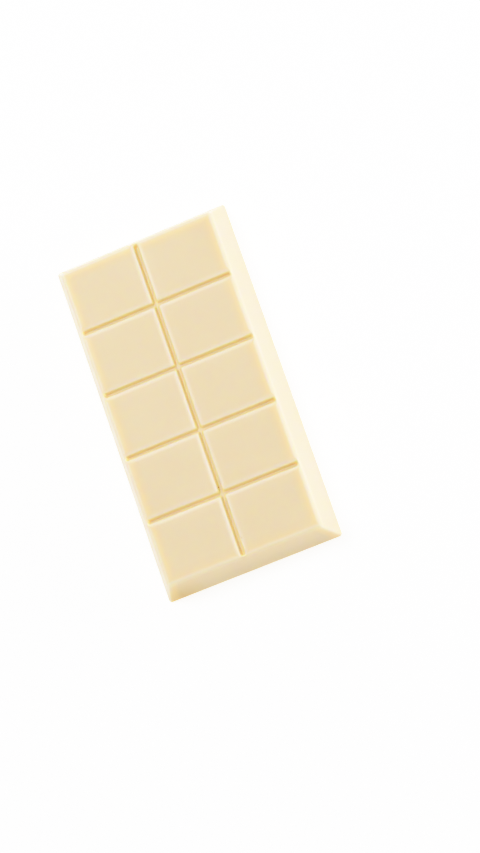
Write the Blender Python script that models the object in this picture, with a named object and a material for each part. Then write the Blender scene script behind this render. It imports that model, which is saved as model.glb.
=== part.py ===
"""A moulded bar of white chocolate: two columns of five blocks in one solid piece.

The bar lies on its broad poured back, with the grooved face up.
X runs across the bar, Y along it and Z up. The origin is at the middle of the back.
"""

import math

import bmesh
import bpy

MM = 0.001

# Overall size
BACK_WIDTH = 65.0 * MM
BACK_LENGTH = 125.0 * MM
THICKNESS = 10.9 * MM

# Side walls: they lean in towards the face, so that the bar leaves its mould
DRAFT_ANGLE = math.radians(19.7)
CORNER_RADIUS = 1.0 * MM
RIM_RADIUS = 1.2 * MM
FOOT_RADIUS = 0.3 * MM

# The grooves between the two columns and the five rows of blocks
LONG_GROOVES_X = (-0.28 * MM,)
CROSS_GROOVE_PITCH = 23.65 * MM
CROSS_GROOVES_Y = tuple(CROSS_GROOVE_PITCH * place for place in (-1.5, -0.5, 0.5, 1.5))
GROOVE_WIDTH = 3.3 * MM
GROOVE_DEPTH = 1.6 * MM
LIP_RADIUS = 1.0 * MM
GROOVE_WALL_ANGLE = math.radians(70.0)
GROOVE_END_OVERRUN = 1.2 * MM
BLOCK_CORNER_RADIUS = 0.4 * MM

# Fineness of the rounded stretches
RIM_STEPS = 6
LIP_STEPS = 3
FOOT_STEPS = 2
CORNER_STEPS = 3

CHOCOLATE_COLOUR = (0.85, 0.72, 0.48, 1.0)


def side_section():
    """The (reach, height) points of a side, from the flat of the face down to the back.

    Reach is measured outwards from where the flat of the face ends.
    """
    lean = math.tan(DRAFT_ANGLE)
    points = []
    for step in range(RIM_STEPS + 1):
        turn = (math.pi / 2 - DRAFT_ANGLE) * step / RIM_STEPS
        reach = RIM_RADIUS * math.sin(turn)
        height = THICKNESS - RIM_RADIUS * (1 - math.cos(turn))
        points.append((reach, height))
    rim_reach, rim_height = points[-1]
    wall_foot = rim_reach + rim_height * lean
    foot_centre = wall_foot - FOOT_RADIUS * (1 + math.sin(DRAFT_ANGLE)) / math.cos(DRAFT_ANGLE)
    for step in range(FOOT_STEPS + 1):
        turn = DRAFT_ANGLE - (DRAFT_ANGLE + math.pi / 2) * step / FOOT_STEPS
        reach = foot_centre + FOOT_RADIUS * math.cos(turn)
        height = FOOT_RADIUS * (1 + math.sin(turn))
        points.append((reach, height))
    return points


SIDE_SECTION = side_section()
MOST_REACH = max(reach for reach, _ in SIDE_SECTION)
FLAT_HALF_X = BACK_WIDTH / 2 - MOST_REACH
FLAT_HALF_Y = BACK_LENGTH / 2 - MOST_REACH


def lip_section():
    """The (distance, depth) points of a groove's side, from a block's flat to the groove floor."""
    points = []
    for step in range(LIP_STEPS + 1):
        turn = GROOVE_WALL_ANGLE * step / LIP_STEPS
        points.append((LIP_RADIUS * math.sin(turn), LIP_RADIUS * (1 - math.cos(turn))))
    lip_distance, lip_depth = points[-1]
    wall_run = (GROOVE_DEPTH - lip_depth) / math.tan(GROOVE_WALL_ANGLE)
    points.append((lip_distance + wall_run, GROOVE_DEPTH))
    return points


LIP_SECTION = lip_section()


def depth_at(distance):
    """How deep the surface lies at this distance from the nearest flat."""
    for (near, shallow), (far, deep) in zip(LIP_SECTION, LIP_SECTION[1:]):
        if distance <= far:
            return shallow + (deep - shallow) * (distance - near) / (far - near)
    return GROOVE_DEPTH


def into_nearest(value, centres):
    """How far a value lies inside the nearest groove, negative outside all of them."""
    return GROOVE_WIDTH / 2 - min(abs(value - centre) for centre in centres)


def face_height(x, y):
    """The height of the grooved face: flat on the blocks, lower between them.

    A groove's end wall rises inside the rim, a little beyond the border of the flat.
    """
    away_x = into_nearest(x, LONG_GROOVES_X) + BLOCK_CORNER_RADIUS
    away_y = into_nearest(y, CROSS_GROOVES_Y) + BLOCK_CORNER_RADIUS
    from_block = math.hypot(max(away_x, 0.0), max(away_y, 0.0)) - BLOCK_CORNER_RADIUS
    from_border = min(FLAT_HALF_X - abs(x), FLAT_HALF_Y - abs(y))
    from_end = from_border + GROOVE_END_OVERRUN
    return THICKNESS - depth_at(max(min(from_block, from_end), 0.0))


def stations(centres, half):
    """Grid lines along one axis: the border, the foot of its end walls and each groove's sides."""
    offsets = [distance for distance, _ in LIP_SECTION]
    end_foot = half + GROOVE_END_OVERRUN - offsets[-1]
    values = [-half, -end_foot, end_foot, half]
    for centre in centres:
        values += [centre - GROOVE_WIDTH / 2 + offset for offset in offsets]
        values += [centre + GROOVE_WIDTH / 2 - offset for offset in offsets]
    return sorted(values)


X_STATIONS = stations(LONG_GROOVES_X, FLAT_HALF_X)
Y_STATIONS = stations(CROSS_GROOVES_Y, FLAT_HALF_Y)


def add_face(bm):
    """The grooved face as a grid, returned as rows of vertices."""
    grid = []
    for y in Y_STATIONS:
        grid.append([bm.verts.new((x, y, face_height(x, y))) for x in X_STATIONS])
    for low, high in zip(grid, grid[1:]):
        for index in range(len(X_STATIONS) - 1):
            bm.faces.new((low[index], low[index + 1], high[index + 1], high[index]))
    return grid


def border_of(grid):
    """The grid's border, anticlockwise from above, with each corner repeated for its arc."""
    repeats = CORNER_STEPS + 1
    border = grid[0][1:-1] + [grid[0][-1]] * repeats
    border += [row[-1] for row in grid[1:-1]] + [grid[-1][-1]] * repeats
    border += grid[-1][-2:0:-1] + [grid[-1][0]] * repeats
    border += [row[0] for row in grid[-2:0:-1]] + [grid[0][0]] * repeats
    return border


def add_ring(bm, reach, height):
    """One outline of the bar, with as many vertices as the face's border.

    It keeps to the height given, except where a groove's end dips into it.
    """
    radius = min(reach, CORNER_RADIUS)
    half_x = FLAT_HALF_X + reach
    half_y = FLAT_HALF_Y + reach
    ring = []

    def add_point(x, y):
        ring.append(bm.verts.new((x, y, min(height, face_height(x, y)))))

    def add_corner(sign_x, sign_y, first_turn):
        for step in range(CORNER_STEPS + 1):
            turn = first_turn + math.pi / 2 * step / CORNER_STEPS
            x = sign_x * (half_x - radius) + radius * math.cos(turn)
            y = sign_y * (half_y - radius) + radius * math.sin(turn)
            add_point(x, y)

    for x in X_STATIONS[1:-1]:
        add_point(x, -half_y)
    add_corner(1, -1, -math.pi / 2)
    for y in Y_STATIONS[1:-1]:
        add_point(half_x, y)
    add_corner(1, 1, 0.0)
    for x in X_STATIONS[-2:0:-1]:
        add_point(x, half_y)
    add_corner(-1, 1, math.pi / 2)
    for y in Y_STATIONS[-2:0:-1]:
        add_point(-half_x, y)
    add_corner(-1, -1, math.pi)
    return ring


def join_rings(bm, upper, lower):
    """Faces between two outlines; where the upper one repeats a corner they are triangles."""
    count = len(upper)
    for index in range(count):
        after = (index + 1) % count
        loop = [upper[index], lower[index], lower[after]]
        if upper[after] is not upper[index]:
            loop.append(upper[after])
        bm.faces.new(loop)


def close_back(bm, ring):
    """The flat back, as triangles that meet at its middle."""
    middle = bm.verts.new((0.0, 0.0, 0.0))
    for index in range(len(ring)):
        bm.faces.new((middle, ring[(index + 1) % len(ring)], ring[index]))


def bar_mesh(name):
    bm = bmesh.new()
    ring = border_of(add_face(bm))
    for reach, height in SIDE_SECTION[1:]:
        lower = add_ring(bm, reach, height)
        join_rings(bm, ring, lower)
        ring = lower
    close_back(bm, ring)
    bmesh.ops.recalc_face_normals(bm, faces=bm.faces)
    mesh = bpy.data.meshes.new(name)
    bm.to_mesh(mesh)
    bm.free()
    mesh.shade_smooth()
    mesh.set_sharp_from_angle(angle=math.radians(40.0))
    return mesh


def white_chocolate():
    """Pale ivory with a satin surface."""
    material = bpy.data.materials.new("white_chocolate")
    material.use_nodes = True
    shader = material.node_tree.nodes["Principled BSDF"]
    shader.inputs["Base Color"].default_value = CHOCOLATE_COLOUR
    shader.inputs["Roughness"].default_value = 0.4
    shader.inputs["Metallic"].default_value = 0.0
    return material


def build():
    for old in list(bpy.data.objects):
        bpy.data.objects.remove(old, do_unlink=True)
    bar = bpy.data.objects.new("chocolate_bar", bar_mesh("chocolate_bar"))
    bar.data.materials.append(white_chocolate())
    bpy.context.scene.collection.objects.link(bar)


build()
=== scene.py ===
# %% [markdown]
# # A moulded bar of white chocolate
#
# The bar is one piece, cast face down in a mould. The mould gave it flat glossy blocks, grooves to
# break it along and side walls that lean in. Its back is the side that was poured and left open.
# The CAD model already holds the size and the place, so this script only makes a finer skin of the
# same shape, the look of the chocolate, and a small studio round it.

# %% Load the frame
import math

import bmesh
import bpy
from mathutils import Matrix, Vector, noise


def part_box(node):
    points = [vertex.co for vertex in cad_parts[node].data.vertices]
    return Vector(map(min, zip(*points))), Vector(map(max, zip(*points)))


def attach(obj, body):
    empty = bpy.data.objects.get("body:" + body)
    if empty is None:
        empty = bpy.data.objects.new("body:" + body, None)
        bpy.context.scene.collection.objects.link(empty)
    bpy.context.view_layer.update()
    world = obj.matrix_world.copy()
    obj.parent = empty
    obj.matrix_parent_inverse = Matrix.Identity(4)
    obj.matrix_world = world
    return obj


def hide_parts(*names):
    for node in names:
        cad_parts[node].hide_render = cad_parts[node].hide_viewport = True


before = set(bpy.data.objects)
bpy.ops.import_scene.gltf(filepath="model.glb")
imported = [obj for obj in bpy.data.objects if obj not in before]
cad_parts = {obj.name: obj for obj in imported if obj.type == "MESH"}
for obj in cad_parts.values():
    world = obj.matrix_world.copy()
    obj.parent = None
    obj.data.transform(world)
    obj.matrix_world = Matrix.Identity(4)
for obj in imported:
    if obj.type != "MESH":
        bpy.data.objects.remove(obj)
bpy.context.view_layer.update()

MM = 0.001
BAR = "chocolate_bar"

low, high = (Vector(corner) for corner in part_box(BAR))
WIDTH = high.x - low.x
LENGTH = high.y - low.y
THICKNESS = high.z - low.z
print("bar, mm:", [round(side / MM, 1) for side in (WIDTH, LENGTH, THICKNESS)])

# %% [markdown]
# ## The camera
#
# A long lens from about a metre away keeps the sides of a small thing nearly parallel. The camera
# looks down on the face, from a little to the right of the bar and a little beyond its near end, so
# two side walls show. It is then turned about its own line of sight, so that the bar leans to one
# side. Three angles and a distance say all of this more plainly than a matrix would.

# %% Camera
LENS = 120.0
CAMERA_AIM = Vector((13.55 * MM, -16.27 * MM, THICKNESS))
CAMERA_AZIMUTH = math.radians(41.05)
CAMERA_ELEVATION = math.radians(73.0)
CAMERA_ROLL = math.radians(61.77)
CAMERA_DISTANCE = 972.0 * MM


def camera_matrix():
    """The camera's place and turn: it looks at the aim, then leans by the roll."""
    flat = math.cos(CAMERA_ELEVATION)
    back = Vector((
        math.sin(CAMERA_AZIMUTH) * flat,
        -math.cos(CAMERA_AZIMUTH) * flat,
        math.sin(CAMERA_ELEVATION),
    ))
    side = Vector((0, 0, 1)).cross(back).normalized()
    level_up = back.cross(side)
    up = level_up * math.cos(CAMERA_ROLL) + side * math.sin(CAMERA_ROLL)
    right = up.cross(back)
    turn = Matrix((right, up, back)).transposed().to_4x4()
    return Matrix.Translation(CAMERA_AIM + back * CAMERA_DISTANCE) @ turn


camera_data = bpy.data.cameras.new("camera")
camera_data.lens = LENS
camera = bpy.data.objects.new("camera", camera_data)
camera.matrix_world = camera_matrix()
bpy.context.scene.collection.objects.link(camera)
bpy.context.scene.camera = camera
print("camera, m:", [round(value, 3) for value in camera.matrix_world.translation])

# %% [markdown]
# ## The section of a side
#
# A side could be an extruded block with a bevel. Here it is a list of points that runs from the
# face outwards: a shoulder where the flat falls away gently, a rounded rim, a leaning wall, and a
# small round where the wall meets the back. A list is better because every outline of the bar can
# then be laid at one point of it.

# %% Side section
DRAFT_ANGLE = math.radians(19.7)
SHOULDER = 1.2 * MM
SHOULDER_TURN = math.radians(9.0)
SHOULDER_DROP = SHOULDER * math.tan(SHOULDER_TURN) / 2
RIM_RADIUS = 1.2 * MM
FOOT_RADIUS = 0.3 * MM
CORNER_RADIUS = 1.0 * MM
SHOULDER_STEPS = 3
RIM_STEPS = 12
WALL_STEPS = 6
FOOT_STEPS = 6
CORNER_STEPS = 6


def side_section():
    """The (reach, height) points of a side, and its farthest reach.

    Reach is counted outwards from where the flat of the face ends.
    """
    points = []
    for step in range(SHOULDER_STEPS):
        share = step / SHOULDER_STEPS
        points.append((SHOULDER * share, THICKNESS - SHOULDER_DROP * share**2))
    for step in range(RIM_STEPS + 1):
        turn = SHOULDER_TURN + (math.pi / 2 - DRAFT_ANGLE - SHOULDER_TURN) * step / RIM_STEPS
        points.append((
            SHOULDER + RIM_RADIUS * (math.sin(turn) - math.sin(SHOULDER_TURN)),
            THICKNESS - SHOULDER_DROP - RIM_RADIUS * (math.cos(SHOULDER_TURN) - math.cos(turn)),
        ))
    rim_reach, rim_height = points[-1]
    wall_foot = rim_reach + rim_height * math.tan(DRAFT_ANGLE)
    foot_centre = wall_foot - FOOT_RADIUS * (1 + math.sin(DRAFT_ANGLE)) / math.cos(DRAFT_ANGLE)
    foot = []
    for step in range(FOOT_STEPS + 1):
        turn = DRAFT_ANGLE - (DRAFT_ANGLE + math.pi / 2) * step / FOOT_STEPS
        foot.append((
            foot_centre + FOOT_RADIUS * math.cos(turn),
            FOOT_RADIUS * (1 + math.sin(turn)),
        ))
    foot_reach, foot_height = foot[0]
    for step in range(1, WALL_STEPS):
        share = step / WALL_STEPS
        reach = rim_reach + (foot_reach - rim_reach) * share
        points.append((reach, rim_height + (foot_height - rim_height) * share))
    return points + foot, foot_centre + FOOT_RADIUS


SIDE_SECTION, MOST_REACH = side_section()
FLAT_X = WIDTH / 2 - MOST_REACH
FLAT_Y = LENGTH / 2 - MOST_REACH
print("flat of the face, mm:", round(2 * FLAT_X / MM, 2), "x", round(2 * FLAT_Y / MM, 2))

# %% [markdown]
# ## The section of a groove
#
# A groove is a shallow trough. From a block's flat its side falls away in the same gentle shoulder
# as at the rim, turns down in a rounded lip, drops as a steep wall, and turns again into the floor.
# Each stretch is a formula, so the depth at any distance from the flat is exact and the mesh may be
# as fine as it needs to be.

# %% Groove section
GROOVE_DEPTH = 1.6 * MM
GROOVE_WALL_ANGLE = math.radians(70.0)
LIP_SPACING = 3.3 * MM
LIP_RADIUS = 1.0 * MM
FLOOR_RADIUS = 0.35 * MM
LIP_STEPS = 8
FLOOR_STEPS = 5

LIP_START = SHOULDER - LIP_RADIUS * math.sin(SHOULDER_TURN)
LIP_END = LIP_START + LIP_RADIUS * math.sin(GROOVE_WALL_ANGLE)
LIP_TOP = SHOULDER_DROP - LIP_RADIUS * (1 - math.cos(SHOULDER_TURN))
LIP_DEPTH = LIP_TOP + LIP_RADIUS * (1 - math.cos(GROOVE_WALL_ANGLE))
GROOVE_WIDTH = LIP_SPACING + 2 * LIP_START
WALL_END = LIP_END + (GROOVE_DEPTH - LIP_DEPTH) / math.tan(GROOVE_WALL_ANGLE)
FLOOR_TANGENT = FLOOR_RADIUS * math.tan(GROOVE_WALL_ANGLE / 2)
FLOOR_START = WALL_END - FLOOR_TANGENT * math.cos(GROOVE_WALL_ANGLE)
FLOOR_FLAT = WALL_END + FLOOR_TANGENT


def groove_depth(distance):
    """How deep the surface lies at this distance from the nearest flat."""
    if distance <= 0.0:
        return 0.0
    if distance < SHOULDER:
        return SHOULDER_DROP * (distance / SHOULDER) ** 2
    if distance < LIP_END:
        across = distance - LIP_START
        return LIP_TOP + LIP_RADIUS - math.sqrt(LIP_RADIUS**2 - across**2)
    if distance < FLOOR_START:
        return LIP_DEPTH + (distance - LIP_END) * math.tan(GROOVE_WALL_ANGLE)
    if distance < FLOOR_FLAT:
        left = FLOOR_FLAT - distance
        return GROOVE_DEPTH - FLOOR_RADIUS + math.sqrt(FLOOR_RADIUS**2 - left**2)
    return GROOVE_DEPTH


def groove_distances():
    """The distances at which the mesh follows a groove's side."""
    values = [SHOULDER * step / SHOULDER_STEPS for step in range(SHOULDER_STEPS)]
    for step in range(LIP_STEPS + 1):
        turn = SHOULDER_TURN + (GROOVE_WALL_ANGLE - SHOULDER_TURN) * step / LIP_STEPS
        values.append(LIP_START + LIP_RADIUS * math.sin(turn))
    values.append((LIP_END + FLOOR_START) / 2)
    for step in range(FLOOR_STEPS, -1, -1):
        turn = GROOVE_WALL_ANGLE * step / FLOOR_STEPS
        values.append(FLOOR_FLAT - FLOOR_RADIUS * math.sin(turn))
    return values


DISTANCES = groove_distances()
print("groove, mm:", round(GROOVE_WIDTH / MM, 2), "wide,", round(FLOOR_FLAT / MM, 2), "to its floor")

# %% [markdown]
# ## The height of the grooved face
#
# The grooves could be cut one by one with a Boolean, but their lips would then need a bevel that
# fails where two grooves cross. It is simpler to ask, for any point, how far it lies from the
# nearest block: blocks stand, and everything between them sinks by the groove's section. The cross
# grooves keep one even pitch, which leaves the end blocks slightly longer than the others, and the
# long groove lies a little to the left of the middle. Blocks have rounded corners, which opens the
# crossings. A groove's end wall rises inside the rim, so the rim runs on past it.

# %% Face height
LONG_GROOVES_X = (-0.28 * MM,)
CROSS_GROOVE_PITCH = 23.65 * MM
CROSS_GROOVES_Y = tuple(CROSS_GROOVE_PITCH * place for place in (-1.5, -0.5, 0.5, 1.5))
CORNER_ROUNDING = 1.0 * MM
GROOVE_END_OVERRUN = 3.2 * MM
END_ROUNDING = 0.9 * MM


def into_nearest(value, centres):
    """How far a value lies inside the nearest groove, negative outside all of them."""
    return GROOVE_WIDTH / 2 - min(abs(value - centre) for centre in centres)


def rounded_lesser(a, b, rounding):
    """The lesser of two values, with the corner between them rounded off."""
    blend = max(rounding - abs(a - b), 0.0) / rounding
    return min(a, b) - blend * blend * rounding / 4


def from_end_wall(x, y):
    """How far a point lies inside the place where the grooves end."""
    return min(FLAT_X - abs(x), FLAT_Y - abs(y)) + GROOVE_END_OVERRUN


def into_groove(x, y):
    """How far a point of the face lies from the nearest flat; zero on a flat."""
    into_x = into_nearest(x, LONG_GROOVES_X)
    into_y = into_nearest(y, CROSS_GROOVES_Y)
    from_block = -rounded_lesser(-into_x, -into_y, CORNER_ROUNDING)
    if from_block <= 0.0:
        return 0.0
    return max(rounded_lesser(from_block, from_end_wall(x, y), END_ROUNDING), 0.0)


def face_height(x, y):
    """The height of the grooved face above the back."""
    return THICKNESS - groove_depth(into_groove(x, y))


print("middle block, mm:", round((CROSS_GROOVE_PITCH - GROOVE_WIDTH) / MM, 2), "long")

# %% [markdown]
# ## Two small faults of the casting
#
# A cast bar is seldom perfect. This one has an open air bubble in the wall of the long groove, with
# brown painted shade in it, and a tiny nick in the opposite lip, with a little painted shade. A bump
# map would do from afar, but real pits also hold up from close by. The grid lines below have to
# crowd where the pits are, so their places are set first.

# %% Pits
AIR_BUBBLE = Vector((-0.79, -32.96, 9.63)) * MM
LIP_NICK = Vector((1.0, -52.5, 10.65)) * MM
# Each pit's last value is how much painted shade it gets: full in the bubble, a little in the nick.
PITS = (
    {"centre": AIR_BUBBLE, "radius": 0.38 * MM, "depth": 0.24 * MM, "painted_shade": 1.0},
    {"centre": LIP_NICK, "radius": 0.45 * MM, "depth": 0.2 * MM, "painted_shade": 0.2},
)
PIT_LINES = 4


def pit_lines(axis, span):
    """Grid lines along one axis that cross the pits, within a span on either side."""
    lines = []
    for pit in PITS:
        for step in range(-PIT_LINES, PIT_LINES + 1):
            lines.append(pit["centre"][axis] + span * step / PIT_LINES)
    return lines


def pit_amount(point, pit):
    """1 in the middle of a pit, falling smoothly to 0 at its border."""
    share = (point - pit["centre"]).length / pit["radius"]
    return max(1.0 - share**2, 0.0) ** 2


def press_pits(mesh):
    """Sinks the pits into the mesh, each along the surface's own direction."""
    inwards = [-vertex.normal for vertex in mesh.vertices]
    for vertex, direction in zip(mesh.vertices, inwards):
        for pit in PITS:
            vertex.co += direction * pit["depth"] * pit_amount(vertex.co, pit)


print("pits, mm across:", [round(2 * pit["radius"] / MM, 2) for pit in PITS])

# %% [markdown]
# ## Where the grid lines go
#
# An even grid fine enough for the lips would need millions of faces. Instead the grid lines crowd
# where the surface turns and spread out on the flats. One line just inside each edge of a flat
# keeps the smooth shading of the lip from leaking over the whole block.

# %% Grid lines
WIDEST_GAP = 1.6 * MM
NARROWEST_GAP = 0.02 * MM
HOLD = 0.12 * MM
PIT_SPAN_X = 0.2 * MM
PIT_SPAN_Y = 0.45 * MM


def with_gaps_filled(values):
    """The values in order, without near doubles and with more between any that lie far apart."""
    ordered = sorted(values)
    filled = [ordered[0]]
    for value in ordered[1:]:
        gap = value - filled[-1]
        if gap < NARROWEST_GAP:
            continue
        parts = max(1, math.ceil(gap / WIDEST_GAP))
        start = filled[-1]
        filled += [start + gap * part / parts for part in range(1, parts + 1)]
    return filled


def grid_lines(centres, half, extra):
    """The grid lines along one axis, from one border of the flat to the other."""
    values = [-half, HOLD - half, half - HOLD, half] + extra
    for distance in DISTANCES:
        end = half + GROOVE_END_OVERRUN - distance
        if end < half - HOLD:
            values += [-end, end]
    for centre in centres:
        values.append(centre)
        for distance in [-HOLD] + DISTANCES:
            values += [centre - GROOVE_WIDTH / 2 + distance, centre + GROOVE_WIDTH / 2 - distance]
    return with_gaps_filled(values)


X_LINES = grid_lines(LONG_GROOVES_X, FLAT_X, pit_lines(0, PIT_SPAN_X))
Y_LINES = grid_lines(CROSS_GROOVES_Y, FLAT_Y, pit_lines(1, PIT_SPAN_Y))
print("grid lines:", len(X_LINES), "across,", len(Y_LINES), "along")

# %% [markdown]
# ## The poured back
#
# No mould touched the back. It is the level that the liquid chocolate found, and it set with slow
# waves in it. A bump map would give their shine but not their outline against the light, so they
# are real. The bar rests on the border of its back, which stays level, and the waves go inwards.

# %% Back height
BACK_RIPPLE = 0.07 * MM
RIPPLE_LENGTH = 17.0 * MM
RIPPLE_BORDER = 4.0 * MM
LEVEL_SHARE = 0.2
RIPPLE_MEAN = 0.55
RIPPLE_SWING = 0.45


def back_height(x, y):
    """The poured back: level at its border, drawn in by less than a tenth of a millimetre inside."""
    edge = min(WIDTH / 2 - abs(x), LENGTH / 2 - abs(y))
    share = min(max(edge / RIPPLE_BORDER - LEVEL_SHARE, 0.0), 1.0)
    wave = noise.noise(Vector((x, y, 0.0)) / RIPPLE_LENGTH)
    smooth_share = share * share * (3 - 2 * share)
    return BACK_RIPPLE * smooth_share * (RIPPLE_MEAN + RIPPLE_SWING * wave)


print("back drawn in at its middle, mm:", round(back_height(0.0, 0.0) / MM, 3))

# %% [markdown]
# ## Two grids: the face and the back
#
# The face and the back are grids over the same lines. A subdivided plane would do for the back, but
# with equal lines the two grids have equal borders, so the sides can join them without a seam.

# %% Grids


def add_grid(bm, reach, height_at):
    """A grid of vertices, as rows; reach stretches its last lines outwards."""
    rows = []
    for y in Y_LINES:
        row = []
        for x in X_LINES:
            wide_x = x * (FLAT_X + reach) / FLAT_X
            wide_y = y * (FLAT_Y + reach) / FLAT_Y
            row.append(bm.verts.new((wide_x, wide_y, height_at(wide_x, wide_y))))
        rows.append(row)
    return rows


def fill_grid(bm, rows, facing_up):
    """One face for each cell of a grid."""
    for near, far in zip(rows, rows[1:]):
        for index in range(len(near) - 1):
            loop = (near[index], near[index + 1], far[index + 1], far[index])
            bm.faces.new(loop if facing_up else loop[::-1])


def border_of(rows):
    """The grid's border, anticlockwise from above, with each corner repeated for its arc."""
    repeats = CORNER_STEPS + 1
    border = rows[0][1:-1] + [rows[0][-1]] * repeats
    border += [row[-1] for row in rows[1:-1]] + [rows[-1][-1]] * repeats
    border += rows[-1][-2:0:-1] + [rows[-1][0]] * repeats
    border += [row[0] for row in rows[-2:0:-1]] + [rows[0][0]] * repeats
    return border


print("faces in a grid:", (len(X_LINES) - 1) * (len(Y_LINES) - 1))

# %% [markdown]
# ## Outlines for the sides
#
# The face's border is carried outwards and down as a stack of outlines, one for each point of the
# side section. At a corner the grid has one vertex and each outline has an arc, so the faces there
# fan out, which gives the narrow rounded ridge that runs down each corner of a moulded bar.

# %% Outlines


def outline(reach):
    """The (x, y) points of one outline, in the same order as a grid's border."""
    radius = min(reach, CORNER_RADIUS)
    half_x = FLAT_X + reach
    half_y = FLAT_Y + reach
    sides = (
        [(x, -half_y) for x in X_LINES[1:-1]],
        [(half_x, y) for y in Y_LINES[1:-1]],
        [(x, half_y) for x in X_LINES[-2:0:-1]],
        [(-half_x, y) for y in Y_LINES[-2:0:-1]],
    )
    corners = ((1, -1), (1, 1), (-1, 1), (-1, -1))
    points = []
    for index, (side, (sign_x, sign_y)) in enumerate(zip(sides, corners)):
        points += side
        for step in range(CORNER_STEPS + 1):
            turn = (index - 1 + step / CORNER_STEPS) * math.pi / 2
            points.append((
                sign_x * (half_x - radius) + radius * math.cos(turn),
                sign_y * (half_y - radius) + radius * math.sin(turn),
            ))
    return points


def join_outlines(bm, upper, lower):
    """Faces between two outlines; where one repeats a corner they are triangles."""
    for index in range(len(upper)):
        after = (index + 1) % len(upper)
        loop = []
        for vertex in (upper[index], lower[index], lower[after], upper[after]):
            if vertex not in loop:
                loop.append(vertex)
        if len(loop) > 2:
            bm.faces.new(loop)


print("outlines:", len(SIDE_SECTION) - 1, "of", len(outline(MOST_REACH)), "points")

# %% [markdown]
# ## The skin in one mesh
#
# Face, sides and back could be three objects, but a bar is one solid piece, and light that soaks
# through it needs one closed surface. Only the material changes, at the edge of the back. Where a
# groove reaches into the rim, an outline dips into it and otherwise keeps its own height.

# %% Skin
MOULDED, POURED = range(2)


def bar_mesh():
    """The grooved face, the sides and the poured back as one closed mesh."""
    bm = bmesh.new()
    rows = add_grid(bm, 0.0, face_height)
    fill_grid(bm, rows, facing_up=True)
    ring = border_of(rows)
    for reach, height in SIDE_SECTION[1:]:
        lower = [
            bm.verts.new((x, y, min(height, face_height(x, y)))) for x, y in outline(reach)
        ]
        join_outlines(bm, ring, lower)
        ring = lower
    moulded_faces = len(bm.faces)
    last_reach, _ = SIDE_SECTION[-1]
    back_rows = add_grid(bm, last_reach - CORNER_RADIUS, back_height)
    join_outlines(bm, ring, border_of(back_rows))
    fill_grid(bm, back_rows, facing_up=False)
    bmesh.ops.recalc_face_normals(bm, faces=bm.faces)
    bm.faces.ensure_lookup_table()
    for face in bm.faces[moulded_faces:]:
        face.material_index = POURED
    mesh = bpy.data.meshes.new("bar_skin")
    bm.to_mesh(mesh)
    bm.free()
    mesh.shade_smooth()
    return mesh


bar = bpy.data.objects.new("bar_skin", bar_mesh())
bpy.context.scene.collection.objects.link(bar)
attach(bar, "root")
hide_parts(BAR)
print("skin faces:", len(bar.data.polygons))

# %% [markdown]
# ## Measures for the painted light on the face
#
# The tints paint light and shade into the chocolate's colour, following its shape: painted
# highlights on sharp turns, a painted glow where light soaks through a thin edge, painted shade in
# the grooves and towards a foot that faces away from the light. A texture map would need
# unwrapping. It is simpler to let the mesh carry a few measures between 0 and 1, worked out from the
# same sections as the shape, and to look the tint up from them. The first three say where a point
# lies on the face: in a groove, at a groove's end, or near the side.

# %% Face measures
GLOW_REACH = 4.5 * MM
END_REACH = 8.0 * MM
SAME_HEIGHT = 0.005 * MM


def between_0_and_1(value):
    """The value, cut off below 0 and above 1."""
    return min(max(value, 0.0), 1.0)


def groove_share(point):
    """0 on the flats and the sides, 1 where the groove's floor starts."""
    if point.z < face_height(point.x, point.y) - SAME_HEIGHT:
        return 0.0
    return min(into_groove(point.x, point.y) / FLOOR_FLAT, 1.0)


def end_share(point):
    """1 where a groove's floor meets its end wall, fading along the groove and up its sides."""
    return groove_share(point) * max(1.0 - from_end_wall(point.x, point.y) / END_REACH, 0.0)


def reach_of(point):
    """How far a point lies outside the flat of the face, negative inside it."""
    return max(abs(point.x) - FLAT_X, abs(point.y) - FLAT_Y)


def side_share(point):
    """0 well inside the face and in the grooves, 0.5 at the flat's border, 1 at the side's foot."""
    reach = reach_of(point)
    span = GLOW_REACH if reach < 0.0 else MOST_REACH
    return between_0_and_1(0.5 + 0.5 * reach / span) * (1.0 - groove_share(point))


print("border glow reaches", round(GLOW_REACH / MM, 1), "mm into the face")

# %% [markdown]
# ## Measures for the painted light on the walls
#
# The near end gets the most painted shade, so it has tints of its own, and so has the ridge at each
# corner, with a painted highlight, as a thin ridge catches light from two sides. The foot beside the
# near left ridge gets the deepest painted shade, in gold. A light for each of these would spoil the
# others, while a measure stays where it belongs.

# %% Wall measures
RIDGE_REACH = 5.0 * MM
CORNER_BLEND = 2.0 * MM
CORNER_GOLD_START = 2.5 * MM
CORNER_GOLD_END = 14.0 * MM


def near_share(point):
    """1 on the near end of the bar, 0 on its other sides, blending at the corners."""
    towards_near = -point.y - FLAT_Y
    towards_side = abs(point.x) - FLAT_X
    return between_0_and_1(0.5 + (towards_near - towards_side) / CORNER_BLEND)


def near_wall_share(point):
    """1 on the wall of the near end, 0 on the face, its rim and the other walls."""
    return near_share(point) * between_0_and_1((reach_of(point) - SHOULDER) / RIM_RADIUS)


def ridge_share(point):
    """1 on the ridge that runs down each corner, 0 on the flats and well along a side."""
    beyond_x = abs(point.x) - FLAT_X
    beyond_y = abs(point.y) - FLAT_Y
    outside = between_0_and_1(reach_of(point) / SHOULDER)
    return outside * max(1.0 - abs(beyond_x - beyond_y) / RIDGE_REACH, 0.0)


# This measure lays a deep gold painted shade on the foot of the near wall.
def corner_share(point):
    """Grows towards the foot of the near wall beside its left ridge, and fades along the wall."""
    from_ridge = max(point.x + FLAT_X - point.y - FLAT_Y, 0.0)
    start = min(from_ridge / CORNER_GOLD_START, 1.0)
    fade = max(1.0 - from_ridge / CORNER_GOLD_END, 0.0)
    return near_wall_share(point) * start * fade * (1.0 - point.z / THICKNESS)


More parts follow.
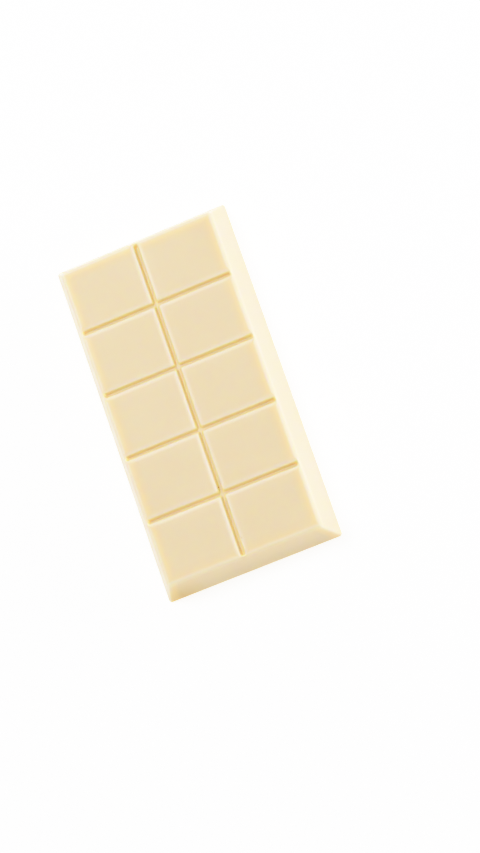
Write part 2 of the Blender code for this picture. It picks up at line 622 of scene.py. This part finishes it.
print("corner gold reaches", round(CORNER_GOLD_END / MM, 1), "mm along the near wall")

# %% [markdown]
# ## Writing the measures and pressing the pits
#
# A measure is stored as one number for each vertex, under its own name, where an Attribute node can
# read it. The pits are pressed last, because the measures need the undisturbed surface.

# %% Measures on the mesh


def pit_shade_share(point):
    """How much painted shade a pit puts on this point."""
    return max(pit["painted_shade"] * pit_amount(point, pit) for pit in PITS)


MEASURES = (
    groove_share, end_share, side_share, near_share,
    near_wall_share, ridge_share, corner_share, pit_shade_share,
)


def write_measure(mesh, measure):
    """Stores a measure on the mesh under its own name."""
    layer = mesh.attributes.new(measure.__name__, "FLOAT", "POINT")
    layer.data.foreach_set("value", [measure(vertex.co) for vertex in mesh.vertices])


for shape_measure in MEASURES:
    write_measure(bar.data, shape_measure)
press_pits(bar.data)
print("measures:", [shape_measure.__name__ for shape_measure in MEASURES])

# %% [markdown]
# ## Helpers for nodes
#
# Nodes could be made and linked one line at a time. These helpers say the same in one call each: an
# empty group with its sockets, a node with its values and links, and a mix of two colours.

# %% Node helpers
MIX_FACTOR = 0
MIX_FIRST = 6
MIX_SECOND = 7
MIX_RESULT = 2


def new_group(name, inputs, outputs):
    """An empty node group with float or colour sockets, and its two end nodes."""
    group = bpy.data.node_groups.new(name, "ShaderNodeTree")
    for socket_name, kind, default in inputs:
        socket = group.interface.new_socket(socket_name, in_out="INPUT", socket_type=kind)
        socket.default_value = default
    for socket_name, kind in outputs:
        group.interface.new_socket(socket_name, in_out="OUTPUT", socket_type=kind)
    start = group.nodes.new("NodeGroupInput")
    end = group.nodes.new("NodeGroupOutput")
    return group, start, end


def add_node(tree, kind, settings=None, values=None, links=None):
    """A node with its settings, socket values and incoming links."""
    node = tree.nodes.new(kind)
    for name, value in (settings or {}).items():
        setattr(node, name, value)
    for name, value in (values or {}).items():
        node.inputs[name].default_value = value
    for name, source in (links or {}).items():
        tree.links.new(source, node.inputs[name])
    return node


def mixed(tree, factor, first, second):
    """Two colours mixed by a factor."""
    mix = add_node(
        tree, "ShaderNodeMix",
        settings={"data_type": "RGBA"},
        links={MIX_FACTOR: factor, MIX_FIRST: first, MIX_SECOND: second},
    )
    return mix.outputs[MIX_RESULT]


def multiplied(tree, first, second):
    """The product of two colours."""
    mix = add_node(
        tree, "ShaderNodeMix",
        settings={"data_type": "RGBA", "blend_type": "MULTIPLY"},
        values={MIX_FACTOR: 1.0},
        links={MIX_FIRST: first, MIX_SECOND: second},
    )
    return mix.outputs[MIX_RESULT]


print("helpers:", [helper.__name__ for helper in (new_group, add_node, mixed, multiplied)])

# %% [markdown]
# ## Shared effect: cloudy colour
#
# Chocolate is a set mass of fat, sugar and milk. Its colour is almost even, with soft cloudy
# patches. Both the moulded side and the poured back need them, each with its own two tones, so they
# are a node group.

# %% Cloudy colour group
NOISE_LOW = 0.3
NOISE_HIGH = 0.7


def cloudy_colour_group():
    """Mixes two close tones in soft patches."""
    group, start, end = new_group(
        "cloudy_colour",
        (
            ("Tone", "NodeSocketColor", (0.8, 0.8, 0.8, 1.0)),
            ("Patch Tone", "NodeSocketColor", (0.7, 0.7, 0.7, 1.0)),
            ("Patch Scale", "NodeSocketFloat", 60.0),
            ("Amount", "NodeSocketFloat", 0.5),
        ),
        (("Color", "NodeSocketColor"),),
    )
    place = add_node(group, "ShaderNodeTexCoord")
    cloud = add_node(
        group, "ShaderNodeTexNoise",
        values={"Detail": 3.0, "Roughness": 0.5},
        links={"Vector": place.outputs["Object"], "Scale": start.outputs["Patch Scale"]},
    )
    soft = add_node(
        group, "ShaderNodeMapRange",
        settings={"interpolation_type": "SMOOTHSTEP"},
        values={"From Min": NOISE_LOW, "From Max": NOISE_HIGH},
        links={"Value": cloud.outputs["Fac"]},
    )
    share = add_node(
        group, "ShaderNodeMath",
        settings={"operation": "MULTIPLY"},
        links={0: soft.outputs["Result"], 1: start.outputs["Amount"]},
    )
    colour = mixed(
        group, share.outputs["Value"], start.outputs["Tone"], start.outputs["Patch Tone"]
    )
    group.links.new(colour, end.inputs["Color"])
    return group


CLOUDY_COLOUR = cloudy_colour_group()
print("group:", CLOUDY_COLOUR.name, "with", len(CLOUDY_COLOUR.nodes), "nodes")

# %% [markdown]
# ## Shared effect: fine relief
#
# The moulded side is not quite a mirror of the mould, and the back is plainly uneven. Both have
# slow waves and a fine grain, too small to be worth any faces. The group puts out a height, and
# each material feeds it to a Bump node of its own strength.

# %% Fine relief group


def fine_relief_group():
    """A height made of slow waves and a fine grain."""
    group, start, end = new_group(
        "fine_relief",
        (
            ("Wave Scale", "NodeSocketFloat", 80.0),
            ("Wave Amount", "NodeSocketFloat", 0.5),
            ("Grain Scale", "NodeSocketFloat", 2500.0),
            ("Grain Amount", "NodeSocketFloat", 0.1),
        ),
        (("Height", "NodeSocketFloat"),),
    )
    place = add_node(group, "ShaderNodeTexCoord")
    parts = []
    for scale, amount, detail in (
        ("Wave Scale", "Wave Amount", 2.0),
        ("Grain Scale", "Grain Amount", 1.0),
    ):
        relief = add_node(
            group, "ShaderNodeTexNoise",
            values={"Detail": detail},
            links={"Vector": place.outputs["Object"], "Scale": start.outputs[scale]},
        )
        parts.append(add_node(
            group, "ShaderNodeMath",
            settings={"operation": "MULTIPLY"},
            links={0: relief.outputs["Fac"], 1: start.outputs[amount]},
        ))
    total = add_node(
        group, "ShaderNodeMath",
        settings={"operation": "ADD"},
        links={0: parts[0].outputs["Value"], 1: parts[1].outputs["Value"]},
    )
    group.links.new(total.outputs["Value"], end.inputs["Height"])
    return group


FINE_RELIEF = fine_relief_group()
print("group:", FINE_RELIEF.name, "with", len(FINE_RELIEF.nodes), "nodes")

# %% [markdown]
# ## Painted light on the face
#
# Light goes a few millimetres into white chocolate and comes out again, red and green further than
# blue. The Principled shader's subsurface gives most of that from real light paths, but its gold is
# too weak in the narrow grooves and along the border of the flats, and its turns are not pale
# enough. Each table below paints the missing light and shade into the colour, as a factor on red,
# green and blue: a painted glow, painted highlights on the turns and painted shade in the grooves
# and the pits. The factors on red stay low, because red that goes past full is cut off, and the
# tint then turns green.

# %% Face tints
# Over the groove share: flat, painted highlight on the lip, painted golden shade on the wall, a
# little painted light on the floor
GROOVE_TINTS = (
    (0.0, (1.0, 1.0, 1.0)),
    (0.15, (1.01, 1.02, 1.05)),
    (0.40, (1.03, 1.06, 1.20)),
    (0.60, (1.05, 1.10, 1.33)),
    (0.69, (1.11, 1.13, 1.15)),
    (0.78, (1.13, 1.08, 0.86)),
    (0.92, (1.13, 1.07, 0.76)),
    (1.0, (1.08, 1.07, 1.03)),
)
# Over the end share: a painted glow, as if light soaked through the rim and warmed the groove's end
END_TINTS = (
    (0.0, (1.0, 1.0, 1.0)),
    (0.45, (1.03, 1.01, 0.97)),
    (0.7, (1.05, 1.02, 0.95)),
)
# Over the pit share: no shade, painted shade at the border, brown painted shade in the middle
PIT_TINTS = (
    (0.0, (1.0, 1.0, 1.0)),
    (0.25, (0.92, 0.78, 0.55)),
    (0.7, (0.62, 0.40, 0.20)),
)
print("face tints:", len(GROOVE_TINTS) + len(END_TINTS) + len(PIT_TINTS))

# %% [markdown]
# ## Painted light on the border and the walls
#
# From the face outwards the tints paint a warm glow at the border of the flat, a pale highlight on
# the rim, and then shade that grows slowly darker down to the foot. The near end gets more painted
# shade than the rest. Its ridges get a painted highlight, with a faint painted gold glow beside
# them.

# %% Wall tints
# Over the side share: inner face, painted glow at the border of the flat, painted highlight on the
# rim, painted shade on the wall and foot
SIDE_TINTS = (
    (0.16, (1.0, 1.0, 0.995)),
    (0.27, (1.02, 0.995, 0.955)),
    (0.38, (1.05, 1.0, 0.93)),
    (0.49, (1.14, 1.045, 0.91)),
    (0.55, (1.13, 1.06, 0.98)),
    (0.60, (1.12, 1.12, 1.31)),
    (0.66, (1.05, 1.06, 1.16)),
    (0.72, (0.97, 0.975, 0.99)),
    (0.9, (0.94, 0.95, 0.97)),
    (1.0, (0.90, 0.92, 0.95)),
)
# The same for the near end, with deeper painted shade on its wall and foot
NEAR_TINTS = (
    (0.16, (1.0, 1.0, 0.995)),
    (0.27, (1.0, 0.99, 0.97)),
    (0.41, (1.02, 1.0, 0.965)),
    (0.51, (1.04, 1.005, 0.92)),
    (0.56, (1.09, 1.06, 1.07)),
    (0.60, (1.11, 1.14, 1.30)),
    (0.67, (1.06, 1.08, 1.12)),
    (0.73, (0.995, 0.97, 0.93)),
    (0.84, (0.94, 0.93, 0.90)),
    (0.90, (0.90, 0.90, 0.87)),
    (1.0, (0.83, 0.83, 0.78)),
)
# Over the ridge share: wall, painted highlight on the ridge
RIDGE_TINTS = (
    (0.8, (1.0, 1.0, 1.0)),
    (1.0, (1.02, 1.04, 1.12)),
)
# The same for the near wall: wall, painted gold glow beside the ridge, painted highlight on the
# ridge
NEAR_RIDGE_TINTS = (
    (0.20, (1.0, 1.0, 1.0)),
    (0.45, (1.09, 1.05, 0.945)),
    (0.62, (1.125, 1.08, 0.93)),
    (0.80, (1.13, 1.13, 1.15)),
    (1.0, (1.08, 1.15, 1.40)),
)
# Over the corner share: wall, deep gold painted shade at the foot
CORNER_TINTS = (
    (0.0, (1.0, 1.0, 1.0)),
    (0.3, (0.975, 0.925, 0.77)),
    (0.55, (0.95, 0.84, 0.53)),
)
print("near wall's foot, red green blue:", NEAR_TINTS[-1][1])

# %% [markdown]
# ## From measures to colours
#
# A colour ramp turns a measure into a tint. Its points may hold values above one, so a ramp can
# also make a place paler. New points start in its middle and are then put in their places. All the
# ramps are multiplied into the chocolate's own colour.

# %% Tint ramps
RAMP_MIDDLE = 0.5


def tint_ramp(tree, measure, tints):
    """A colour ramp driven by a measure that the mesh carries."""
    share = add_node(tree, "ShaderNodeAttribute", settings={"attribute_name": measure})
    ramp = add_node(tree, "ShaderNodeValToRGB", links={"Fac": share.outputs["Fac"]})
    points = ramp.color_ramp.elements
    while len(points) < len(tints):
        points.new(RAMP_MIDDLE)
    for point, (place, tint) in zip(points, tints):
        point.position = place
        point.color = (*tint, 1.0)
    print(measure, "tints at", [round(point.position, 2) for point in points])
    return ramp.outputs["Color"]


def tint_by_end(tree, measure, tints, near_tints, near_measure):
    """The tints over a measure, with other ones where the near measure is 1."""
    near = add_node(tree, "ShaderNodeAttribute", settings={"attribute_name": near_measure})
    return mixed(
        tree,
        near.outputs["Fac"],
        tint_ramp(tree, measure, tints),
        tint_ramp(tree, measure, near_tints),
    )


def moulded_painted_light(tree):
    """The painted light and shade of the moulded side, laid out by its shape."""
    return (
        tint_ramp(tree, "groove_share", GROOVE_TINTS),
        tint_ramp(tree, "end_share", END_TINTS),
        tint_by_end(tree, "side_share", SIDE_TINTS, NEAR_TINTS, "near_share"),
        tint_by_end(tree, "ridge_share", RIDGE_TINTS, NEAR_RIDGE_TINTS, "near_wall_share"),
        tint_ramp(tree, "corner_share", CORNER_TINTS),
        tint_ramp(tree, "pit_shade_share", PIT_TINTS),
    )


print("longest ramp:", max(len(SIDE_TINTS), len(NEAR_TINTS)), "points")

# %% [markdown]
# ## Gloss and relief
#
# Set chocolate shines unevenly, because the cocoa butter doesn't set at the same pace everywhere.
# One roughness for the whole bar would look like plastic, so it drifts in small patches. The relief
# is only a bump, which is enough for something this fine.

# %% Gloss and relief
GLOSS_SCALE = 140.0


def add_uneven_gloss(tree, shader, smoothest, roughest):
    """Roughness that drifts between two values in small patches."""
    place = add_node(tree, "ShaderNodeTexCoord")
    gloss = add_node(
        tree, "ShaderNodeTexNoise",
        values={"Scale": GLOSS_SCALE, "Detail": 3.0},
        links={"Vector": place.outputs["Object"]},
    )
    spread = add_node(
        tree, "ShaderNodeMapRange",
        values={
            "From Min": NOISE_LOW,
            "From Max": NOISE_HIGH,
            "To Min": smoothest,
            "To Max": roughest,
        },
        links={"Value": gloss.outputs["Fac"]},
    )
    tree.links.new(spread.outputs["Result"], shader.inputs["Roughness"])


def add_relief(tree, shader, relief, strength, depth):
    """The fine relief as a bump of this strength and depth."""
    height = add_node(
        tree, "ShaderNodeGroup", settings={"node_tree": FINE_RELIEF}, values=relief
    )
    bump = add_node(
        tree, "ShaderNodeBump",
        values={"Strength": strength, "Distance": depth},
        links={"Height": height.outputs["Height"]},
    )
    tree.links.new(bump.outputs["Normal"], shader.inputs["Normal"])


print("gloss patches, mm:", round(1 / GLOSS_SCALE / MM, 1))

# %% [markdown]
# ## White chocolate
#
# Paint on a plain surface would look hard and dry. The glow of chocolate comes from light that
# wanders inside it, so the whole surface scatters, by the random walk method, which keeps thin
# edges right.

# %% Chocolate material
SCATTER_SCALE = 2.4 * MM
SCATTER_RADIUS = (1.0, 0.75, 0.25)
COCOA_BUTTER_IOR = 1.46
PATCH_SCALE = 55.0


def add_scattering(shader):
    """Lets light wander through the chocolate, red the furthest and blue the least."""
    shader.subsurface_method = "RANDOM_WALK"
    shader.inputs["Subsurface Weight"].default_value = 1.0
    shader.inputs["Subsurface Radius"].default_value = SCATTER_RADIUS
    shader.inputs["Subsurface Scale"].default_value = SCATTER_SCALE
    shader.inputs["IOR"].default_value = COCOA_BUTTER_IOR


def chocolate_material(name, tone, patch_tone, amount, tints_of=None):
    """Scattering chocolate with cloudy colour, and its shader for further finishes."""
    material = bpy.data.materials.new(name)
    material.use_nodes = True
    tree = material.node_tree
    shader = tree.nodes["Principled BSDF"]
    add_scattering(shader)
    colour = add_node(
        tree, "ShaderNodeGroup", settings={"node_tree": CLOUDY_COLOUR},
        values={
            "Tone": tone,
            "Patch Tone": patch_tone,
            "Patch Scale": PATCH_SCALE,
            "Amount": amount,
        },
    )
    base = colour.outputs["Color"]
    for tint in tints_of(tree) if tints_of else ():
        base = multiplied(tree, base, tint)
    tree.links.new(base, shader.inputs["Base Color"])
    return material, shader


print("light wanders, mm:", [round(SCATTER_SCALE * share / MM, 2) for share in SCATTER_RADIUS])

# %% [markdown]
# ## The moulded side
#
# A mould of polished plastic leaves a satin surface: smooth, pale ivory, with barely any cloud.

# %% Moulded chocolate
moulded, moulded_shader = chocolate_material(
    "moulded_chocolate",
    tone=(0.860, 0.702, 0.474, 1.0),
    patch_tone=(0.850, 0.690, 0.460, 1.0),
    amount=0.8,
    # The tints paint light and shade into the moulded side's colour.
    tints_of=moulded_painted_light,
)
add_uneven_gloss(moulded.node_tree, moulded_shader, smoothest=0.30, roughest=0.40)
add_relief(
    moulded.node_tree, moulded_shader,
    {"Wave Scale": 110.0, "Wave Amount": 1.0, "Grain Scale": 1800.0, "Grain Amount": 0.1},
    strength=0.06, depth=0.1 * MM,
)
bar.data.materials.append(moulded)
print("slot", MOULDED, "holds", bar.data.materials[MOULDED].name)

# %% [markdown]
# ## The poured side
#
# The back cooled in the open air. It is duller, with clearer clouds and a stronger relief, and it
# needs no tints because it has no grooves or rims.

# %% Poured chocolate
poured, poured_shader = chocolate_material(
    "poured_back",
    tone=(0.875, 0.725, 0.51, 1.0),
    patch_tone=(0.845, 0.675, 0.44, 1.0),
    amount=1.0,
)
add_uneven_gloss(poured.node_tree, poured_shader, smoothest=0.48, roughest=0.62)
add_relief(
    poured.node_tree, poured_shader,
    {"Wave Scale": 160.0, "Wave Amount": 1.0, "Grain Scale": 1200.0, "Grain Amount": 0.3},
    strength=0.6, depth=0.15 * MM,
)
bar.data.materials.append(poured)
print("slot", POURED, "holds", bar.data.materials[POURED].name)

# %% [markdown]
# ## The light table
#
# The bar lies on a white light table: a plain sheet that is bright by itself, so the floor stays
# white and the side walls get light from below. A white sheet without its own light would need far
# stronger lamps, which would bleach the bar.

# %% Light table
TABLE_SIZE = 3.0
TABLE_GAP = 0.1 * MM
TABLE_COLOUR = (0.9, 0.9, 0.9, 1.0)
TABLE_ROUGHNESS = 0.6
TABLE_GLOW = 0.5
PLAIN_WHITE = (1.0, 1.0, 1.0, 1.0)


def table_material():
    """White and matt, with a light of its own."""
    material = bpy.data.materials.new("light_table")
    material.use_nodes = True
    shader = material.node_tree.nodes["Principled BSDF"]
    shader.inputs["Base Color"].default_value = TABLE_COLOUR
    shader.inputs["Roughness"].default_value = TABLE_ROUGHNESS
    shader.inputs["Emission Color"].default_value = PLAIN_WHITE
    shader.inputs["Emission Strength"].default_value = TABLE_GLOW
    return material


def table_mesh():
    """One square, centred under the bar."""
    half = TABLE_SIZE / 2
    corners = [(-half, -half, 0), (half, -half, 0), (half, half, 0), (-half, half, 0)]
    mesh = bpy.data.meshes.new("table")
    mesh.from_pydata(corners, [], [(0, 1, 2, 3)])
    mesh.materials.append(table_material())
    return mesh


table = bpy.data.objects.new("table", table_mesh())
table.location.z = low.z - TABLE_GAP
bpy.context.scene.collection.objects.link(table)
print("table top, mm:", round(table.location.z / MM, 2))

# %% [markdown]
# ## The lamps
#
# One bulb would throw hard shadows. Here a key lamp behind and to the left lights the face, and one
# from above evens it out. A cool strip low on the right makes the right wall the palest, and a warm
# one warms the near wall. Weak strips on the left and at the far end only keep those walls from
# going grey, so they have no sheen: it would glare on the face when seen from low down.

# %% Lamps
COOL = (0.93, 0.91, 1.0)
WARM = (1.0, 0.95, 0.8)
LAMPS = (
    {"name": "lamp_key", "azimuth": 225, "elevation": 50, "distance": 1.4,
     "width": 0.6, "height": 0.6, "watts": 8.6},
    {"name": "lamp_above", "azimuth": 90, "elevation": 78, "distance": 0.9,
     "width": 0.5, "height": 0.5, "watts": 2.3},
    {"name": "lamp_right", "azimuth": 90, "elevation": 8, "distance": 0.7,
     "width": 0.5, "height": 0.15, "watts": 3.3, "colour": COOL},
    {"name": "lamp_left", "azimuth": -90, "elevation": 8, "distance": 0.7,
     "width": 0.5, "height": 0.15, "watts": 0.35, "sheen": False},
    {"name": "lamp_far", "azimuth": 180, "elevation": 8, "distance": 0.7,
     "width": 0.5, "height": 0.15, "watts": 1.2, "sheen": False},
    {"name": "lamp_near", "azimuth": 0, "elevation": 30, "distance": 0.8,
     "width": 0.5, "height": 0.3, "watts": 1.0, "colour": WARM},
)


def add_lamp(
    name, azimuth, elevation, distance, width, height, watts, colour=(1.0, 1.0, 1.0), sheen=True
):
    """A soft lamp that faces the bar; azimuth 0 stands at -Y and 90 at +X."""
    turn = math.radians(azimuth)
    rise = math.radians(elevation)
    direction = Vector((
        math.sin(turn) * math.cos(rise),
        -math.cos(turn) * math.cos(rise),
        math.sin(rise),
    ))
    data = bpy.data.lights.new(name, "AREA")
    data.shape = "RECTANGLE"
    data.size = width
    data.size_y = height
    data.energy = watts
    data.color = colour
    lamp = bpy.data.objects.new(name, data)
    lamp.location = direction * distance
    lamp.rotation_euler = direction.to_track_quat("Z", "Y").to_euler()
    lamp.visible_camera = False
    lamp.visible_glossy = sheen
    bpy.context.scene.collection.objects.link(lamp)


for lamp_values in LAMPS:
    add_lamp(**lamp_values)
print("lamps, W in all:", round(sum(lamp_values["watts"] for lamp_values in LAMPS), 2))

# %% [markdown]
# ## The world
#
# A white world fills the shadows softly. At the strength that suits the bar it would look grey
# behind it, so the camera sees it brighter than the bar does. The Light Path node tells the two
# apart.

# %% World
WORLD_LIGHT = 0.28
WORLD_SEEN = 1.2

world = bpy.data.worlds.new("studio")
world.use_nodes = True
background = world.node_tree.nodes["Background"]
background.inputs["Color"].default_value = PLAIN_WHITE
ray = add_node(world.node_tree, "ShaderNodeLightPath")
brightness = add_node(
    world.node_tree, "ShaderNodeMapRange",
    values={"To Min": WORLD_LIGHT, "To Max": WORLD_SEEN},
    links={"Value": ray.outputs["Is Camera Ray"]},
)
world.node_tree.links.new(brightness.outputs["Result"], background.inputs["Strength"])
bpy.context.scene.world = world
print("world:", WORLD_LIGHT, "on the bar,", WORLD_SEEN, "to the camera")

# %% [markdown]
# ## The tone curve
#
# The pale right wall is nearly as bright as the floor. Cut off at full white it would lose its
# colour, so the view follows a curve: true up to the middle tones, then easing off. Each pair is
# the light that arrives and the tone that is shown for it.

# %% Tone curve
BRIGHTEST = 2.0
TONE_CURVE = ((0.3, 0.3), (0.6, 0.62), (0.85, 0.82), (1.0, 0.9), (1.2, 0.96), (1.4, 0.99))
ALL_COLOURS = 3


def soft_highlights():
    """Eases off the brightest tones, so that bright walls keep their colour."""
    view = bpy.context.scene.view_settings
    view.view_transform = "Standard"
    view.use_curve_mapping = True
    curves = view.curve_mapping
    curves.white_level = (BRIGHTEST, BRIGHTEST, BRIGHTEST)
    tone = curves.curves[ALL_COLOURS]
    for light, shown in TONE_CURVE:
        tone.points.new(light / BRIGHTEST, shown)
    curves.update()


soft_highlights()
print("tone curve points:", len(TONE_CURVE))
